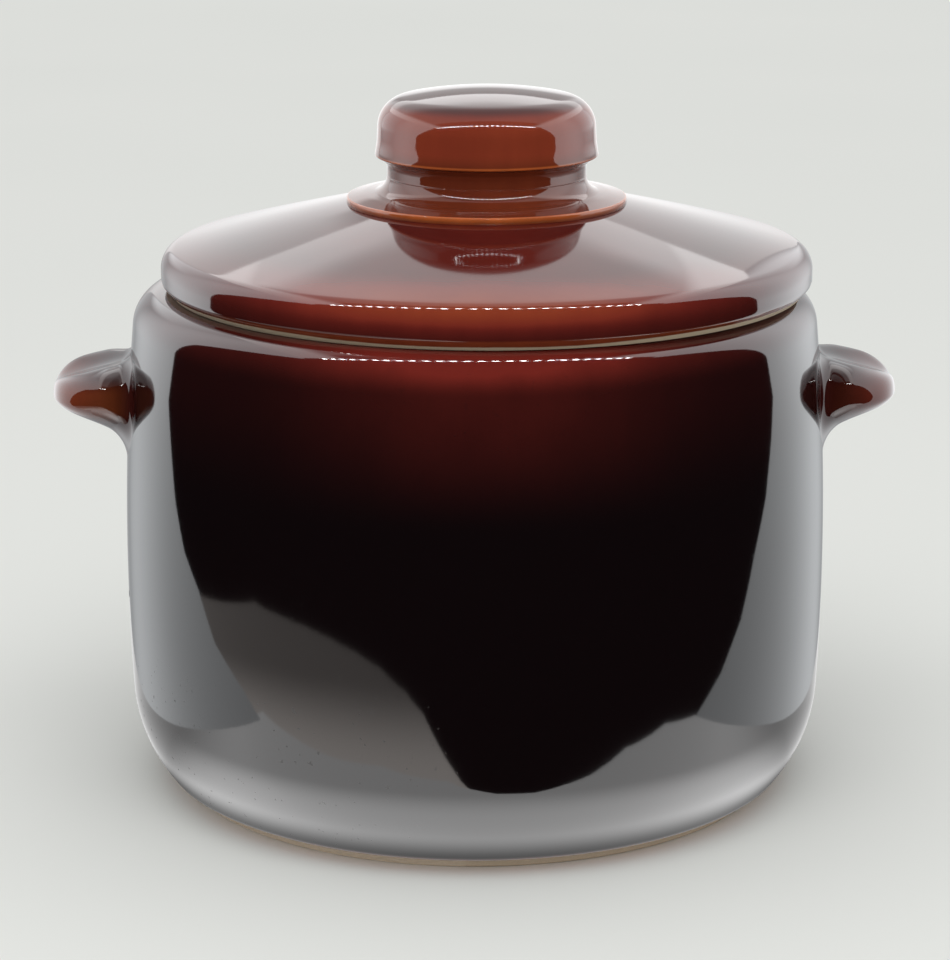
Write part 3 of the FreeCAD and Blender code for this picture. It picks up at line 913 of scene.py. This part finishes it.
def glowing(name, brightness, tint=PLAIN_TINT):
    """A panel that glows, as bright as a function of its coordinates says."""
    finish = Finish(bpy.data.materials.new(name))
    _, parts = finish.place()
    colour = finish.node("ShaderNodeVectorMath", {"operation": "SCALE"}, at_0=tint,
                         scale=brightness(finish, *parts))
    glow = finish.node("ShaderNodeEmission", color=colour.outputs[0], strength=1.0)
    return finish.surface(glow.outputs[0])


def lamp_finish():
    finish = Finish(bpy.data.materials.new("lamps"))
    glow = finish.node("ShaderNodeEmission", color=PLAIN_TINT, strength=LAMP_GLOW)
    return finish.surface(glow.outputs[0])


def side_glow(finish, x, y, z):
    """Bright at the open front and at the top, dimmer towards the back and the floor."""
    height = 0.95 + 0.15 * finish.between(z, 0.02, 0.11) + 0.36 * finish.between(z, 0.09, 0.13)
    low = height * (0.55 + 1.35 * finish.between(y, 0.080, -0.020))
    high = 1.9 * finish.between(z, 0.135, 0.170) * finish.between(y, 0.175, 0.140)
    return finish.math("MAXIMUM", low, high)


def back_glow(finish, x, y, z):
    """Bright above the pot's shoulder, dimmer low down and behind the knob's top."""
    middle = finish.between(finish.math("ABSOLUTE", x), 0.065, 0.040)
    return 0.55 + finish.between(z, 0.110, 0.155) * (0.95 - 0.75 * middle * finish.between(z, 0.195, 0.210))


def top_glow(finish, x, y, z):
    """The lamps sit on a dark strip at the front of a pale ceiling, brighter at its back and sides."""
    middle = 0.7 * finish.between(y, 0.005, 0.045)
    sides = 2.0 * finish.between(finish.math("ABSOLUTE", x), 0.075, 0.095)
    back = 0.8 * finish.between(y, 0.070, 0.105)
    strip = (finish.between(y, LAMP_STRIP_BACK + 3 * MM, LAMP_STRIP_BACK - 1 * MM)
             * finish.between(finish.math("ABSOLUTE", x), 0.085, 0.075))
    return (0.9 + finish.math("MAXIMUM", middle + back, sides)) * (1.0 - 0.75 * strip)


def sheet_glow(finish, x, y, z):
    """Brightest in front of the pot, dim beside and behind it, with a painted contact shadow close to its
    foot.
    """
    reach = (x * x + y * y) ** 0.5
    front = finish.between(y, -0.015, -0.080)
    # Painted contact shadow of the pot on the sheet, close to its foot
    foot = 0.15 + 0.85 * finish.between(reach, 0.082, 0.092)
    return foot * (0.95 + front * (2.1 + 2.2 * finish.between(reach, 0.130, 0.102)))


def table_glow(finish, x, y, z):
    reach = (x * x + y * y) ** 0.5
    return 0.80 + 2.3 * finish.between(reach, 0.235, 0.145)


def floor_finish():
    """Pale matt floor; in the glaze, the sheet and the table on it show instead of it."""
    finish = Finish(bpy.data.materials.new("Pale floor"))
    vector, _ = finish.place()
    path = finish.node("ShaderNodeLightPath").outputs
    cloud = finish.noise(vector, 3.0, 2.0, 0.5)
    colour = finish.mix(cloud, *FLOOR_COLOURS)
    matt = finish.node("ShaderNodeBsdfDiffuse", color=colour)
    dark = finish.node("ShaderNodeEmission", color=ROOM_COLOUR, strength=1.0)
    both = finish.node("ShaderNodeMixShader", at_0=path["Is Glossy Ray"], at_1=matt.outputs[0],
                       at_2=dark.outputs[0])
    return finish.surface(both.outputs[0])


def make_world(settings):
    """Even soft light, a pale background, and a dark room in the glaze's reflections."""
    world = bpy.data.worlds.new("Soft studio")
    bpy.context.scene.world = world
    finish = Finish(world)
    path = finish.node("ShaderNodeLightPath").outputs
    even = finish.node("ShaderNodeBackground", color=PLAIN_TINT, strength=settings.daylight)
    back = finish.node("ShaderNodeBackground", color=tuple(settings.backdrop))
    room = finish.node("ShaderNodeBackground", color=ROOM_COLOUR)
    seen = finish.node("ShaderNodeMixShader", at_0=path["Is Camera Ray"], at_1=even.outputs[0],
                       at_2=back.outputs[0])
    mirrored = finish.node("ShaderNodeMixShader", at_0=path["Is Glossy Ray"], at_1=seen.outputs[0],
                           at_2=room.outputs[0])
    finish.node("ShaderNodeOutputWorld", surface=mirrored.outputs[0])


def make_lamp():
    """A soft lamp above and in front, which the glaze doesn't mirror."""
    data = bpy.data.lights.new("Front softbox", "AREA")
    data.shape = "RECTANGLE"
    data.size, data.size_y = SOFTBOX_SIZE
    data.energy = SOFTBOX_POWER
    lamp = bpy.data.objects.new("Front softbox", data)
    bpy.context.scene.collection.objects.link(lamp)
    lamp.location = SOFTBOX_PLACE
    lamp.rotation_euler = (math.radians(SOFTBOX_TILT), 0, 0)
    lamp.visible_glossy = False
    lamp.visible_camera = False


def make_camera():
    data = bpy.data.cameras.new("Photo view")
    data.sensor_width = SENSOR
    data.lens = LENS
    data.clip_start = 0.01
    camera = bpy.data.objects.new("Photo view", data)
    bpy.context.scene.collection.objects.link(camera)
    camera.location = (-VIEW_DISTANCE * math.sin(VIEW_TURN), -VIEW_DISTANCE * math.cos(VIEW_TURN),
                       VIEW_HEIGHT)
    camera.rotation_euler = (math.pi / 2 - VIEW_FALL, 0, -VIEW_TURN)
    bpy.context.scene.camera = camera


class BEANPOT_OT_stage(bpy.types.Operator):
    """Adds the pale floor, the light tent, the soft light and the camera."""
    bl_idname = "beanpot.stage"
    bl_label = "Add Studio"

    def execute(self, context):
        scene = context.scene
        size = FLOOR_SIZE
        width = TENT_HALF_WIDTH
        stage_plane("floor", [(-size, -size, 0), (size, -size, 0), (size, size, 0), (-size, size, 0)],
                    floor_finish(), camera=True, light=True)
        for name, side in (("tent_right", 1), ("tent_left", -1)):
            corners = [(side * width, y, z) for y, z in TENT_FRONT_EDGES[side]]
            corners += [(side * width, TENT_BACK, TENT_HEIGHT), (side * width, TENT_BACK, WALL_FOOT)]
            stage_plane(name, corners, glowing(name, side_glow, WALL_TINT))
        stage_plane("tent_back", [(-width, TENT_BACK, 0), (width, TENT_BACK, 0),
                                  (width, TENT_BACK, TENT_HEIGHT), (-width, TENT_BACK, TENT_HEIGHT)],
                    glowing("tent_back", back_glow))
        stage_plane("tent_top", [(-width, TENT_FRONT, TENT_HEIGHT), (width, TENT_FRONT, TENT_HEIGHT),
                                 (width, TENT_BACK, TENT_HEIGHT), (-width, TENT_BACK, TENT_HEIGHT)],
                    glowing("tent_top", top_glow))
        stage_plane("sheet", [(x, y, SHEET_HEIGHT) for x, y in SHEET_EDGE], glowing("sheet", sheet_glow))
        stage_plane("table", [(x, y, TABLE_HEIGHT) for x, y in TABLE_EDGE],
                    glowing("table", table_glow, TABLE_TINT))
        stage_object("lamps", lamp_mesh(), lamp_finish())
        make_world(scene.pot_stage)
        make_lamp()
        make_camera()
        scene.view_settings.view_transform = "Standard"
        return {"FINISHED"}


class BEANPOT_PT_panel(bpy.types.Panel):
    """Sizes, colours and buttons for the bean pot."""
    bl_idname = "BEANPOT_PT_panel"
    bl_label = "Bean Pot"
    bl_space_type = "VIEW_3D"
    bl_region_type = "UI"
    bl_category = "Bean Pot"

    def draw(self, context):
        layout = self.layout
        scene = context.scene
        for group, names in ((scene.pot_shape, ("turns", "arc_steps")),
                             (scene.pot_finish, ("deep", "thin", "edge", "clay", "gloss")),
                             (scene.pot_stage, ("daylight", "backdrop"))):
            box = layout.box()
            for name in names:
                box.prop(group, name)
        for operator in PIECE_OPERATORS:
            layout.operator(operator.bl_idname)


PIECE_OPERATORS = (BEANPOT_OT_stage, BEANPOT_OT_body, BEANPOT_OT_handles, BEANPOT_OT_lid, BEANPOT_OT_knob)
CLASSES = (PotShape, PotFinish, PotStage, *PIECE_OPERATORS, BEANPOT_PT_panel)


def register():
    for cls in CLASSES:
        bpy.utils.register_class(cls)
    bpy.types.Scene.pot_shape = bpy.props.PointerProperty(type=PotShape)
    bpy.types.Scene.pot_finish = bpy.props.PointerProperty(type=PotFinish)
    bpy.types.Scene.pot_stage = bpy.props.PointerProperty(type=PotStage)


def unregister():
    del bpy.types.Scene.pot_stage
    del bpy.types.Scene.pot_finish
    del bpy.types.Scene.pot_shape
    for cls in reversed(CLASSES):
        bpy.utils.unregister_class(cls)


def main():
    register()
    bpy.ops.beanpot.stage()
    bpy.ops.beanpot.body()
    bpy.ops.beanpot.handles()
    bpy.ops.beanpot.lid()
    bpy.ops.beanpot.knob()


if __name__ == "__main__":
    main()
